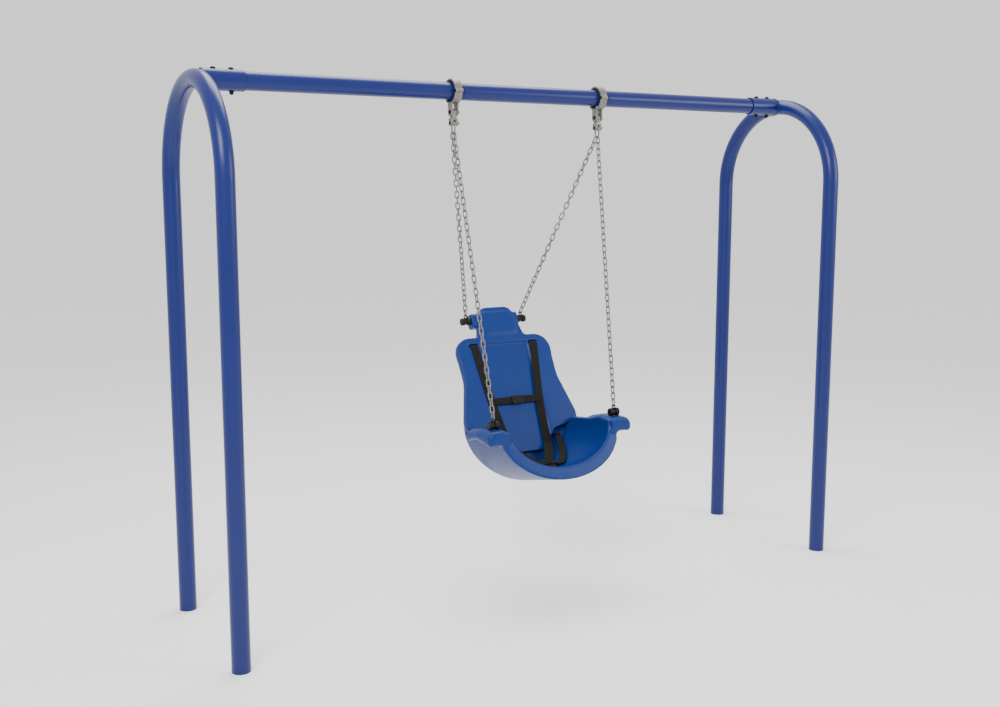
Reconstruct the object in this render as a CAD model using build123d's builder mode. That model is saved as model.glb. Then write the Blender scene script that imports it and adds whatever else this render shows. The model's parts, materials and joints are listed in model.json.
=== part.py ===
"""Arch swing frame with one adaptive bucket seat on four chains.

Row frame: X along the top rail, +Y behind the seat, +Z up.  The origin is on the ground
under the middle of the top rail.  All sizes are millimetres.
"""
from build123d import *
import math
import os

os.makedirs("parts", exist_ok=True)

# ---------------------------------------------------------------- driving sizes
# frame
arch_spacing = 3612.0        # between the two arches, centre to centre
leg_spacing = 917.0          # between the two legs of an arch, centre to centre
rail_height = 2691.0         # ground to the top rail's axis
pipe_od = 88.9
pipe_wall = 3.2

# sleeves that hold the rail
sleeve_wall = 6.1
sleeve_play = 0.25           # radial gap between rail and sleeve
sleeve_reach = 240.0         # arch centreline to the sleeve's free end
sleeve_root = 36.0           # arch centreline to the sleeve's coped end
rail_gap = 54.0              # arch centreline to the rail's end
weld_gap = 0.05
rail_bolt_offsets = (96.0, 181.0)
rail_bolt_d = 12.0
rail_bolt_hole = 13.5

# pipe clamps and pendulum hangers
hanger_spacing = 908.0
clamp_width = 42.0
clamp_ring_wall = 7.9
liner_wall = 12.5
liner_play = 0.05
liner_opening = 100.0        # degrees left open at the bottom
knuckle_r = 9.0
knuckle_half = 10.0          # half width of the middle knuckle
knuckle_play = 0.4
clamp_bolt_d = 10.0
clamp_bolt_hole = 11.0
pivot_drop = 106.0           # rail axis to swing axis
yoke_plate = 7.0
yoke_gap = 27.0              # between the two yoke plates
yoke_half_depth = 22.0
pivot_bolt_d = 12.0
pivot_play = 0.05            # radial running fit of bolt in bushing
bushing_wall = 2.5
pendulum_side_play = 0.5
pendulum_barrel_r = 17.0
pendulum_neck_depth = 26.0
fork_top = 31.5              # below the swing axis
fork_pin_drop = 56.0         # below the swing axis
fork_width = 40.0
fork_slot = 13.0
fork_depth = 30.0
fork_pin_d = 10.0
fork_pin_hole = 10.4

# connector between pendulum and chains
connector_wire = 9.0
connector_inside_width = 24.0
connector_inside_length = 56.0
front_junction = 21.0        # degrees ahead of the connector's lowest point
back_junction = 35.0         # degrees behind it

# chain
chain_wire = 6.7
chain_pitch = 34.0           # wanted inside length of a link
chain_inside_width = 14.2
chain_play = 1.4             # slack between each two links

# chain anchors on the seat
boot_length = 59.0
boot_r = 21.5
boot_groove_r = 15.0
boot_groove_width = 13.0
boot_base = 19.5             # boot axis above the pad it stands on
boot_round = 5.0
eye_wire = 6.5
eye_loop_r = 9.75            # centreline radius of the eye
eye_rise = 29.0              # boot axis to the eye's centre
anchor_shank_d = 10.0
anchor_play = 0.2
insert_r = 10.0
insert_length = 30.0

# bucket seat
front_anchor_y = -293.0
pad_height = 951.0           # top of the rim where the front anchors stand
bucket_wall = 5.0            # skin of the hollow bucket and backrest
fit_play = 0.5               # gap between the backrest and the bucket
rim_bottom_y = -458.0
rim_bottom_z = 672.0
rim_lean = 25.0              # degrees the rim leans back
rim_half_width = 370.0
front_anchor_x = rim_half_width + 13
rim_depth = 268.0
rim_height = 292.0
lip_bottom = 80.0            # depth of the rim's face at the lowest point
lip_side = 62.0
tub_tail_y = 110.0
tub_tail_z = 543.0
tub_tail_lean = 12.0
tub_tail_half_width = 345.0
tub_tail_depth = 310.0
tub_tail_height = 345.0
tub_side = 44.0              # side wall's full thickness, both skins
tub_floor_mid = 66.0         # floor's full thickness under the thighs
tub_floor_tail = 190.0       # and at the back of the seat
tub_back_wall = 40.0
wing_tip = rim_half_width + 82
wing_front_y = -372.0
wing_flat_y = -225.0         # the wing falls away behind this
wing_back_y = -112.0
wing_fall = 26.0
wing_arch_rise = 18.0        # the flange's lower edge arches between its ends
wing_arch_half = 95.0
wing_arch_y = -235.0
wing_drop = 82.0

# backrest
back_recline = 28.5          # degrees from upright
back_y = 256.0               # slot line on the backrest's face
back_z = 1308.0
back_thickness = 40.0
shoulder_half = 312.0
waist_half = 300.0
hip_half = 362.0
neck_half = 152.0
head_half = 107.0            # where the head's top corners would meet
head_top = 238.0
shoulder_top = 55.0
back_foot = -640.0
foot_half = 100.0            # narrow foot between the hips
waist_s = -200.0             # heights along the backrest from the slot line
hip_s = -430.0
hip_corner_s = -486.0
recess_half = 158.0
recess_depth = 9.0
recess_top = 15.0
slot_x = 195.0
slot_s = 8.0
slot_length = 62.0
slot_width = 15.0
head_pad_rise = 5.0
head_pad_half = 104.0
head_pad_top = 205.0
head_pad_foot = 68.0
ear_outer = 153.0
ear_inner = 112.0
ear_low = 128.0
ear_high = 214.0
ear_depth = 68.0
ear_middle = 54.0            # middle of the ear's depth, behind the face
back_anchor_s = 172.0        # along the backrest from the slot line
back_anchor_depth = 47.0     # behind the backrest's face

# bolts that join the backrest to the bucket
joint_bolt_d = 8.0
joint_play = 0.4
joint_high = (225.0, -478.0)    # across and along the backrest, at the hips
joint_low = (68.0, -600.0)      # and at its foot
joint_insert_r = 7.0
joint_insert_length = 24.0
joint_boss_r = 17.0
joint_head_r = 9.0
joint_head_height = 5.5

# webbing harness
strap_width = 50.0
strap_thickness = 2.0
strap_gap = 1.0
strap_mid_x = {"left": 172.0, "right": 139.0}    # the straps lie as they were last left
strap_foot_x = {"left": 138.0, "right": 116.0}
shoulder_foot_s = -590.0
strap_mid_s = -338.0
chest_strap_width = 40.0
chest_reach = 8.0            # chest strap past the shoulder strap's middle
chest_buckle_x = -10.0
buckle_body = 44.0
buckle_tongue = 24.0
buckle_height = 46.0
buckle_thickness = 13.0
buckle_round = 5.0
prong_length = 30.0
prong_thickness = 6.0
prong_height = 30.0
prong_play = 0.5
hip_strap_x = 208.0
hip_strap_s = -552.0
strap_slot_length = 48.0
strap_slot_width = 12.0
slot_skin = 6.0              # material left round a slot
bar_r = 4.0
bar_length = 84.0
bar_gap = 0.2
hub_y = -226.0               # buckle between the legs
hub_z = 707.0
hub_width = 106.0
hub_length = 58.0
hub_thickness = 17.0
hub_pocket = 10.0            # how far a strap's end reaches into the hub
crotch_slot_y = -294.0
crotch_width = 38.0

# ---------------------------------------------------------------- derived values
pipe_r = pipe_od / 2
arch_x = arch_spacing / 2
leg_y = leg_spacing / 2
spring_z = rail_height - leg_y
hanger_x = hanger_spacing / 2
pivot_z = rail_height - pivot_drop
sleeve_inner_r = pipe_r + sleeve_play
sleeve_outer_r = sleeve_inner_r + sleeve_wall
liner_inner_r = pipe_r + liner_play
ring_inner_r = liner_inner_r + liner_wall + liner_play
ring_outer_r = ring_inner_r + clamp_ring_wall
knuckle_y = ring_outer_r + 1.0
sides = {"left": -1, "right": 1}


def save(part, label):
    """Name a finished part and write it as its own STEP file."""
    part.label = label
    export_step(part, f"parts/{label}.step")


def across(x, y, z):
    """Plane square to X: its own x runs along +Y, its own y along +Z."""
    return Plane(origin=(x, y, z), x_dir=(0, 1, 0), z_dir=(1, 0, 0))


# ---------------------------------------------------------------- arches
def arch_path(x):
    """Centreline of one arch: up, over the crown and down again."""
    with BuildLine(across(x, 0, 0)) as line:
        Line((-leg_y, 0), (-leg_y, spring_z))
        RadiusArc((-leg_y, spring_z), (leg_y, spring_z), leg_y)
        Line((leg_y, spring_z), (leg_y, 0))
    return line.line


for side, sign in sides.items():
    with BuildPart() as arch:
        with BuildLine() as route:
            add(arch_path(sign * arch_x))
        with BuildSketch(Plane.XY):
            with Locations((sign * arch_x, -leg_y)):
                Circle(pipe_r)
                Circle(pipe_r - pipe_wall, mode=Mode.SUBTRACT)
        sweep()
    save(arch.part, f"arch_{side}")


# ---------------------------------------------------------------- top rail and sleeves
rail_half = arch_x - rail_gap
bolt_xs = [sign * (arch_x - offset) for sign in (-1, 1) for offset in rail_bolt_offsets]

with BuildPart() as top_rail:
    with BuildSketch(across(-rail_half, 0, rail_height)):
        Circle(pipe_r)
        Circle(pipe_r - pipe_wall, mode=Mode.SUBTRACT)
    extrude(amount=2 * rail_half)
    with Locations([(x, 0, rail_height) for x in bolt_xs]):
        Cylinder(rail_bolt_hole / 2, 3 * pipe_od, mode=Mode.SUBTRACT)
save(top_rail.part, "top_rail")

for side, sign in sides.items():
    low = min(sign * (arch_x - sleeve_root), sign * (arch_x - sleeve_reach))
    with BuildPart() as sleeve:
        with BuildSketch(across(low, 0, rail_height)):
            Circle(sleeve_outer_r)
            Circle(sleeve_inner_r, mode=Mode.SUBTRACT)
        extrude(amount=sleeve_reach - sleeve_root)
        with Locations([(x, 0, rail_height) for x in bolt_xs if x * sign > 0]):
            Cylinder(rail_bolt_hole / 2, 3 * pipe_od, mode=Mode.SUBTRACT)
        with BuildLine() as crown:
            add(arch_path(sign * arch_x))
        with BuildSketch(Plane.XY):
            with Locations((sign * arch_x, -leg_y)):
                Circle(pipe_r + weld_gap)
        sweep(mode=Mode.SUBTRACT)
    save(sleeve.part, f"sleeve_{side}")

washer_r = 14.0
washer_thickness = 2.5
nut_af = 18.0
nut_height = 10.8
head_r = 12.5
head_height = 8.0
bolt_tail = 3.0
washer_top = rail_height + sleeve_outer_r + washer_thickness
washer_low = rail_height - sleeve_outer_r - washer_thickness


def round_bolt(shank_d, length, radius, height):
    """Round-headed bolt along Z: its head stands on z = 0 and its shank hangs below."""
    rim = height * 0.35
    crown = height - rim
    crown_r = (radius**2 + crown**2) / (2 * crown)
    middle = math.asin(radius / crown_r) / 2
    with BuildPart() as bolt:
        with BuildSketch(Plane.XZ):
            with BuildLine():
                Line((0, -length), (shank_d / 2, -length))
                Line((shank_d / 2, -length), (shank_d / 2, 0))
                Line((shank_d / 2, 0), (radius, 0))
                Line((radius, 0), (radius, rim))
                swell = (crown_r * math.sin(middle), height - crown_r * (1 - math.cos(middle)))
                ThreePointArc((radius, rim), swell, (0, height))
                Line((0, height), (0, -length))
            make_face()
        revolve(axis=Axis.Z)
    return bolt.part


def hexagon_nut(thread_d, across_flats, height):
    """Nut along Z that stands on z = 0."""
    with BuildPart() as nut:
        with BuildSketch(Plane.XY):
            RegularPolygon(across_flats / 2, 6, major_radius=False)
            Circle(thread_d / 2, mode=Mode.SUBTRACT)
        extrude(amount=height)
    return nut.part


with BuildPart() as rail_bolts:
    with Locations([(x, 0, washer_top) for x in bolt_xs]):
        grip = washer_top - washer_low
        add(round_bolt(rail_bolt_d, grip + nut_height + bolt_tail, head_r, head_height))
save(rail_bolts.part, "rail_bolts")

with BuildPart() as rail_washers:
    for z in (washer_top - washer_thickness, washer_low):
        with BuildSketch(Plane.XY.offset(z)):
            with Locations([(x, 0) for x in bolt_xs]):
                Circle(washer_r)
                Circle(rail_bolt_hole / 2, mode=Mode.SUBTRACT)
        extrude(amount=washer_thickness)
save(rail_washers.part, "rail_washers")

with BuildPart() as rail_nuts:
    with Locations([(x, 0, washer_low - nut_height) for x in bolt_xs]):
        add(hexagon_nut(rail_bolt_d, nut_af, nut_height))
save(rail_nuts.part, "rail_nuts")


# ---------------------------------------------------------------- pipe clamps
yoke_outer = yoke_gap / 2 + yoke_plate
liner_half = liner_opening / 2
clamp_half = clamp_width / 2
knuckle_points = [(-knuckle_y, 0), (knuckle_y, 0)]
split_play = 0.3

for side, sign in sides.items():
    x = sign * hanger_x
    with BuildPart() as clamp_liner:
        with BuildSketch(across(x, 0, rail_height)):
            Circle(liner_inner_r + liner_wall)
            Circle(liner_inner_r, mode=Mode.SUBTRACT)
            reach = 2 * ring_outer_r
            opening = reach * math.tan(math.radians(liner_half))
            with BuildLine():
                Polyline((0, 0), (-opening, -reach), (opening, -reach), close=True)
            make_face(mode=Mode.SUBTRACT)
        extrude(amount=clamp_half - 1, both=True)
    save(clamp_liner.part, f"clamp_liner_{side}")

    with BuildPart() as clamp_upper:
        with BuildSketch(across(x, 0, rail_height)):
            Circle(ring_outer_r)
            Circle(ring_inner_r, mode=Mode.SUBTRACT)
            with Locations((0, split_play)):
                Rectangle(3 * ring_outer_r, 2 * ring_outer_r, align=(Align.CENTER, Align.MAX), mode=Mode.SUBTRACT)
        extrude(amount=clamp_half, both=True)
        with BuildSketch(across(x, 0, rail_height)):
            with Locations(knuckle_points):
                Circle(knuckle_r + knuckle_play)
        extrude(amount=2 * clamp_half, both=True, mode=Mode.SUBTRACT)
        with BuildSketch(across(x, 0, rail_height)):
            with Locations(knuckle_points):
                Circle(knuckle_r)
            for y in (-knuckle_y, knuckle_y):
                with Locations(((y + math.copysign(ring_inner_r + ring_outer_r, y)) / 3, knuckle_r)):
                    Rectangle(knuckle_r, knuckle_r)
            Circle(ring_inner_r, mode=Mode.SUBTRACT)
        extrude(amount=knuckle_half, both=True)
        with BuildSketch(across(x, 0, rail_height)):
            with Locations(knuckle_points):
                Circle(clamp_bolt_hole / 2)
        extrude(amount=clamp_width, both=True, mode=Mode.SUBTRACT)
    save(clamp_upper.part, f"clamp_upper_{side}")

    with BuildPart() as clamp_lower:
        with BuildSketch(across(x, 0, rail_height)):
            Circle(ring_outer_r)
            Circle(ring_inner_r, mode=Mode.SUBTRACT)
            with Locations((0, -split_play)):
                Rectangle(3 * ring_outer_r, 2 * ring_outer_r, align=(Align.CENTER, Align.MIN), mode=Mode.SUBTRACT)
        extrude(amount=clamp_half, both=True)
        with BuildSketch(across(x, 0, rail_height)):
            with Locations(knuckle_points):
                Circle(knuckle_r + knuckle_play)
        extrude(amount=knuckle_half + knuckle_play, both=True, mode=Mode.SUBTRACT)
        for start in (-clamp_half, knuckle_half + knuckle_play):
            with BuildSketch(across(x + start, 0, rail_height)):
                with Locations(knuckle_points):
                    Circle(knuckle_r)
                Circle(ring_inner_r, mode=Mode.SUBTRACT)
            extrude(amount=clamp_half - knuckle_half - knuckle_play)
        with BuildSketch(across(x, 0, rail_height)):
            with Locations(knuckle_points):
                Circle(clamp_bolt_hole / 2)
        extrude(amount=clamp_width, both=True, mode=Mode.SUBTRACT)
        for start in (-yoke_outer, yoke_gap / 2):
            with BuildSketch(across(x + start, 0, rail_height)):
                with Locations((0, -pivot_drop)):
                    Rectangle(2 * yoke_half_depth, pivot_drop - ring_inner_r, align=(Align.CENTER, Align.MIN))
                    Circle(yoke_half_depth)
                Circle(ring_inner_r, mode=Mode.SUBTRACT)
                with Locations((0, -pivot_drop)):
                    Circle(pivot_bolt_d / 2 + pivot_play, mode=Mode.SUBTRACT)
            extrude(amount=yoke_plate)
    save(clamp_lower.part, f"clamp_lower_{side}")


# ---------------------------------------------------------------- cross bolts of the hangers
def facing(points, offset, direction):
    """Planes at the points, moved along X by offset, with their normal along X."""
    return [Plane(origin=(x + offset, y, z), x_dir=(0, 1, 0), z_dir=(direction, 0, 0)) for x, y, z in points]


clamp_bolt_points = [(sign * hanger_x, y, rail_height) for sign in (-1, 1) for y in (-knuckle_y, knuckle_y)]
pivot_points = [(sign * hanger_x, 0, pivot_z) for sign in (-1, 1)]
fork_points = [(sign * hanger_x, 0, pivot_z - fork_pin_drop) for sign in (-1, 1)]
m10_flats, m10_height = 16.0, 8.4
m12_flats, m12_height = 18.0, 10.8
# name, points, shank, clamped width, head radius, head height, nut across flats, nut height
cross_sets = [
    ("clamp", clamp_bolt_points, clamp_bolt_d, clamp_width, 8.0, 5.5, m10_flats, m10_height),
    ("pivot", pivot_points, pivot_bolt_d, 2 * yoke_outer, 11.0, 7.0, m12_flats, m12_height),
    ("fork", fork_points, fork_pin_d, fork_width, 8.5, 6.0, m10_flats, m10_height),
]
for label, points, shank_d, grip, radius, height, flats, nut in cross_sets:
    with BuildPart() as cross_bolts:
        with Locations(*facing(points, -grip / 2, -1)):
            add(round_bolt(shank_d, grip + nut + 2, radius, height))
    save(cross_bolts.part, f"{label}_bolts")
    with BuildPart() as cross_nuts:
        with Locations(*facing(points, grip / 2, 1)):
            add(hexagon_nut(shank_d, flats, nut))
    save(cross_nuts.part, f"{label}_nuts")


# ---------------------------------------------------------------- pendulums
barrel_width = yoke_gap - 2 * pendulum_side_play
bushing_inner_r = pivot_bolt_d / 2 + pivot_play
bushing_outer_r = bushing_inner_r + bushing_wall
fork_end_r = fork_depth / 2

with BuildPart() as pivot_bushings:
    for x, y, z in pivot_points:
        with BuildSketch(across(x, y, z)):
            Circle(bushing_outer_r)
            Circle(bushing_inner_r, mode=Mode.SUBTRACT)
        extrude(amount=barrel_width / 2, both=True)
save(pivot_bushings.part, "pivot_bushings")

for side, sign in sides.items():
    x = sign * hanger_x
    with BuildPart() as pendulum:
        with BuildSketch(across(x, 0, pivot_z)):
            Circle(pendulum_barrel_r)
            Rectangle(pendulum_neck_depth, fork_top + 4, align=(Align.CENTER, Align.MAX))
        extrude(amount=barrel_width / 2, both=True)
        with BuildSketch(across(x, 0, pivot_z)):
            with Locations((0, -fork_top)):
                Rectangle(fork_depth, fork_pin_drop - fork_top, align=(Align.CENTER, Align.MAX))
            with Locations((0, -fork_pin_drop)):
                Circle(fork_end_r)
        extrude(amount=fork_width / 2, both=True)
        slot_top = pivot_z - fork_pin_drop + fork_pin_d / 2 + connector_wire + 4
        with Locations((x, 0, slot_top)):
            Box(fork_slot, 3 * fork_depth, 2 * fork_pin_drop, align=(Align.CENTER, Align.CENTER, Align.MAX),
                mode=Mode.SUBTRACT)
        with BuildSketch(across(x, 0, pivot_z)):
            Circle(bushing_outer_r)
            with Locations((0, -fork_pin_drop)):
                Circle(fork_pin_hole / 2)
        extrude(amount=fork_width, both=True, mode=Mode.SUBTRACT)
    save(pendulum.part, f"pendulum_{side}")


# ---------------------------------------------------------------- connectors
fork_pin_z = pivot_z - fork_pin_drop
connector_top = fork_pin_z + fork_pin_d / 2 + anchor_play
connector_bow_r = (connector_inside_width + connector_wire) / 2
bow_centre_z = connector_top - connector_inside_length + connector_inside_width / 2


def oval_link(inside_length, inside_width, wire):
    """Round-wire link, long along Y and flat in the XY plane, centred on the origin."""
    bow_r = (inside_width + wire) / 2
    half = (inside_length - inside_width) / 2
    with BuildPart() as link:
        with BuildLine(Plane.XY):
            Line((-bow_r, -half), (-bow_r, half))
            RadiusArc((-bow_r, half), (bow_r, half), bow_r)
            Line((bow_r, half), (bow_r, -half))
            RadiusArc((bow_r, -half), (-bow_r, -half), bow_r)
        with BuildSketch(Plane(origin=(-bow_r, -half, 0), x_dir=(1, 0, 0), z_dir=(0, 1, 0))):
            Circle(wire / 2)
        sweep()
    return link.part


for side, sign in sides.items():
    centre_z = connector_top - connector_inside_length / 2
    with BuildPart() as connector:
        with Locations(across(sign * hanger_x, 0, centre_z)):
            add(oval_link(connector_inside_length, connector_inside_width, connector_wire))
    save(connector.part, f"connector_{side}")


# ---------------------------------------------------------------- chain anchor places
recline = math.radians(back_recline)
back_up = Vector(0, math.sin(recline), math.cos(recline))
back_normal = Vector(0, -math.cos(recline), math.sin(recline))
back_origin = Vector(0, back_y, back_z)


def on_back(x, s, depth=0.0):
    """Point of the backrest: x across, s up along it, depth behind its face."""
    return Vector(x, 0, 0) + back_origin + back_up * s - back_normal * depth


anchors = {}
for side, sign in sides.items():
    anchors[f"front_{side}"] = Vector(sign * front_anchor_x, front_anchor_y, pad_height + boot_base)
    anchors[f"back_{side}"] = on_back(sign * (ear_outer + boot_length / 2), back_anchor_s, back_anchor_depth)
eyes = {name: centre + Vector(0, 0, eye_rise) for name, centre in anchors.items()}


# ---------------------------------------------------------------- chains
def chain_ends(name, sign):
    """Where a chain bears on its connector and on its eye, and its direction."""
    angle = math.radians(-front_junction if name.startswith("front") else back_junction)
    bow_y = connector_bow_r * math.sin(angle)
    bow_z = bow_centre_z - connector_bow_r * math.cos(angle)
    bow = Vector(sign * hanger_x, bow_y, bow_z)
    crown = eyes[name] + Vector(0, 0, eye_loop_r)
    direction = (crown - bow).normalized()
    return bow - direction * (connector_wire / 2), crown + direction * (eye_wire / 2), direction


for name in anchors:
    sign = -1 if name.endswith("left") else 1
    start, end, direction = chain_ends(name, sign)
    run = (end - start).length
    count = round(run / chain_pitch)
    pitch = run / count
    wide = (Vector(1, 0, 0) - direction * direction.X).normalized()
    quarter_turns = count - 1 + (0 if count % 2 == 0 else 1)
    planes = []
    for index in range(count):
        turn = 90 * quarter_turns * index / (count - 1)
        across_link = wide.rotate(Axis((0, 0, 0), direction), turn)
        normal = across_link.cross(direction)
        planes.append(Plane(origin=start + direction * (pitch * (index + 0.5)), x_dir=across_link, z_dir=normal))
    with BuildPart() as chain:
        with Locations(*planes):
            add(oval_link(pitch + chain_play, chain_inside_width, chain_wire))
    save(chain.part, f"chain_{name}")
    print(name, "links", count, "pitch", round(pitch, 2))


# ---------------------------------------------------------------- chain anchors
collar_r = 9.0
collar_width = 12.0
stud_cover = 6.0             # boot left over the stud's far end
insert_bore_r = anchor_shank_d / 2

for name, centre in anchors.items():
    eye = eyes[name]
    outward = -1 if name.endswith("left") else 1
    standing = name.startswith("front")
    hole = anchor_shank_d / 2 + anchor_play
    with BuildPart() as boot:
        with BuildSketch(Plane(origin=centre, x_dir=(1, 0, 0), z_dir=(0, -1, 0))):
            half = boot_length / 2
            step = boot_groove_width / 2
            with BuildLine():
                Polyline((-half, 0), (-half, boot_r), (-step, boot_r), (-step, boot_groove_r),
                         (step, boot_groove_r), (step, boot_r), (half, boot_r), (half, 0), close=True)
            make_face()
        revolve(axis=Axis(centre, (1, 0, 0)))
        fillet(boot.edges().filter_by(GeomType.CIRCLE).filter_by(lambda e: e.radius > boot_r - 0.1), boot_round)
        slot = 2 * eye_loop_r + eye_wire + 2 * anchor_play
        loop_foot = eye_rise - eye_loop_r - eye_wire / 2 - anchor_play
        with Locations(centre + Vector(0, 0, loop_foot)):
            Box(slot, eye_wire + 2 * anchor_play, boot_r, align=(Align.CENTER, Align.CENTER, Align.MIN),
                mode=Mode.SUBTRACT)
        with Locations(centre):
            Cylinder(hole, boot_r, align=(Align.CENTER, Align.CENTER, Align.MIN), mode=Mode.SUBTRACT)
        if standing:
            with Locations(centre - Vector(0, 0, boot_base)):
                Box(2 * boot_length, 3 * boot_r, boot_r, align=(Align.CENTER, Align.CENTER, Align.MAX),
                    mode=Mode.SUBTRACT)
            with Locations(centre):
                Cylinder(hole, 2 * boot_r, mode=Mode.SUBTRACT)
        else:
            with BuildSketch(across(centre.X, centre.Y, centre.Z)):
                Circle(collar_r + anchor_play)
            extrude(amount=collar_width / 2 + anchor_play, both=True, mode=Mode.SUBTRACT)
            with BuildSketch(across(centre.X - outward * half, centre.Y, centre.Z)):
                Circle(hole)
            extrude(amount=outward * (boot_length - stud_cover + anchor_play), mode=Mode.SUBTRACT)
    save(boot.part, f"anchor_boot_{name}")

    with BuildPart() as anchor_eye:
        with Locations(Plane(origin=eye, x_dir=(1, 0, 0), z_dir=(0, -1, 0))):
            Torus(eye_loop_r, eye_wire / 2)
        shank_top = eye - Vector(0, 0, eye_loop_r)
        shank_foot = centre.Z
        if standing:
            shank_foot = pad_height - insert_length
        with Locations(shank_top):
            Cylinder(anchor_shank_d / 2, shank_top.Z - shank_foot,
                     align=(Align.CENTER, Align.CENTER, Align.MAX))
        if not standing:
            with BuildSketch(across(centre.X, centre.Y, centre.Z)):
                Circle(collar_r)
            extrude(amount=collar_width / 2, both=True)
            with BuildSketch(across(centre.X, centre.Y, centre.Z)):
                Circle(hole)
            extrude(amount=collar_width, both=True, mode=Mode.SUBTRACT)
    save(anchor_eye.part, f"anchor_eye_{name}")

with BuildPart() as anchor_studs:
    for side, sign in sides.items():
        centre = anchors[f"back_{side}"]
        with BuildSketch(across(sign * (ear_outer - insert_length), centre.Y, centre.Z)):
            Circle(anchor_shank_d / 2)
        extrude(amount=sign * (insert_length + boot_length - stud_cover))
save(anchor_studs.part, "anchor_studs")

with BuildPart() as anchor_inserts:
    for side, sign in sides.items():
        centre = anchors[f"front_{side}"]
        with BuildSketch(Plane(origin=(centre.X, centre.Y, pad_height - insert_length))):
            Circle(insert_r)
            Circle(insert_bore_r, mode=Mode.SUBTRACT)
        extrude(amount=insert_length)
        centre = anchors[f"back_{side}"]
        with BuildSketch(across(sign * (ear_outer - insert_length), centre.Y, centre.Z)):
            Circle(insert_r)
            Circle(insert_bore_r, mode=Mode.SUBTRACT)
        extrude(amount=sign * insert_length)
save(anchor_inserts.part, "anchor_inserts")


# ---------------------------------------------------------------- backrest
back_face = Plane(origin=back_origin, x_dir=(1, 0, 0), z_dir=back_normal)


def back_outline(grow=0.0):
    """Front view of the backrest in its own plane, grown all round by grow."""
    corners = [
        ((head_half, head_top), 66.0),
        ((neck_half, shoulder_top), 24.0),
        ((shoulder_half, shoulder_top), 92.0),
        ((waist_half, waist_s), 260.0),
        ((hip_half, hip_s), 60.0),
        ((hip_half + 2, hip_corner_s), 36.0),
        ((foot_half * 1.9, hip_corner_s - 42), 50.0),
        ((foot_half, back_foot), 45.0),
    ]
    with BuildSketch(Plane.XY) as outline:
        with BuildLine():
            points = [(0, head_top)] + [point for point, radius in corners] + [(0, back_foot)]
            FilletPolyline(*points, radius=[radius for point, radius in corners])
            mirror(about=Plane.YZ)
        make_face()
        if grow:
            offset(amount=grow)
    return outline.sketch


def back_plane(depth):
    """Plane of the backrest, depth behind its face."""
    return Plane(origin=on_back(0, 0, depth), x_dir=(1, 0, 0), z_dir=back_normal)


joint_points = [(sign * x, s) for sign in (-1, 1) for x, s in (joint_high, joint_low)]
slot_points = [(-slot_x, slot_s), (slot_x, slot_s)]

with BuildPart() as back_void:
    with BuildSketch(back_plane(bucket_wall)):
        add(back_outline(-bucket_wall))
        with Locations(*slot_points):
            SlotOverall(slot_length + 2 * slot_skin, slot_width + 2 * slot_skin, mode=Mode.SUBTRACT)
        with Locations(*joint_points):
            Circle(joint_boss_r, mode=Mode.SUBTRACT)
    extrude(amount=-(back_thickness - 2 * bucket_wall))
    with BuildSketch(back_face):
        with Locations((0, recess_top + bucket_wall)):
            Rectangle(2 * (recess_half + bucket_wall), -2 * back_foot, align=(Align.CENTER, Align.MAX))
    extrude(amount=-(recess_depth + bucket_wall), mode=Mode.SUBTRACT)

with BuildPart() as seat_back:
    with BuildSketch(back_face):
        add(back_outline())
    extrude(amount=-back_thickness)
    for sign in sides.values():
        reach = on_back(sign * (ear_inner + ear_outer) / 2, (ear_low + ear_high) / 2, ear_middle)
        with BuildSketch(Plane(origin=reach, x_dir=back_up, z_dir=(1, 0, 0))):
            RectangleRounded(ear_high - ear_low, ear_depth, 18)
        extrude(amount=(ear_outer - ear_inner) / 2, both=True)
    with BuildSketch(back_face):
        with Locations((0, recess_top)):
            Rectangle(2 * recess_half, 2 * (recess_top - back_foot), align=(Align.CENTER, Align.MAX))
    extrude(amount=-recess_depth, mode=Mode.SUBTRACT)
    with BuildSketch(back_face):
        with Locations((0, (head_pad_top + head_pad_foot) / 2)):
            RectangleRounded(2 * head_pad_half, head_pad_top - head_pad_foot, 22)
    extrude(amount=head_pad_rise)
    with BuildSketch(back_face):
        with Locations(*slot_points):
            SlotOverall(slot_length, slot_width)
    extrude(amount=-2 * back_thickness, mode=Mode.SUBTRACT)
    with BuildSketch(back_plane(back_thickness - joint_insert_length)):
        with Locations(*joint_points):
            Circle(joint_insert_r)
    extrude(amount=-2 * joint_insert_length, mode=Mode.SUBTRACT)
    for sign in sides.values():
        centre = anchors["back_right" if sign > 0 else "back_left"]
        with BuildSketch(across(sign * ear_outer, centre.Y, centre.Z)):
            Circle(insert_r)
        extrude(amount=-sign * insert_length, mode=Mode.SUBTRACT)
    add(back_void.part, mode=Mode.SUBTRACT)
save(seat_back.part, "seat_back")


# ---------------------------------------------------------------- bucket
def leaning(y, z, lean, forward=0.0):
    """Plane across the bucket whose own y axis leans back by lean degrees."""
    angle = math.radians(lean)
    up = Vector(0, math.sin(angle), math.cos(angle))
    ahead = Vector(0, -math.cos(angle), math.sin(angle))
    return Plane(origin=Vector(0, y, z) + ahead * forward, x_dir=(1, 0, 0), z_dir=ahead)


def trough_section(plane, half_width, depth, height, lift):
    """Closed U on the plane: half an ellipse below, straight sides and a flat top."""
    with BuildSketch(plane) as section:
        with BuildLine():
            EllipticalCenterArc((0, lift + depth), half_width, depth, start_angle=180, arc_size=180)
            Line((half_width, lift + depth), (half_width, height))
            Line((half_width, height), (-half_width, height))
            Line((-half_width, height), (-half_width, lift + depth))
        make_face()
    return section.sketch


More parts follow.
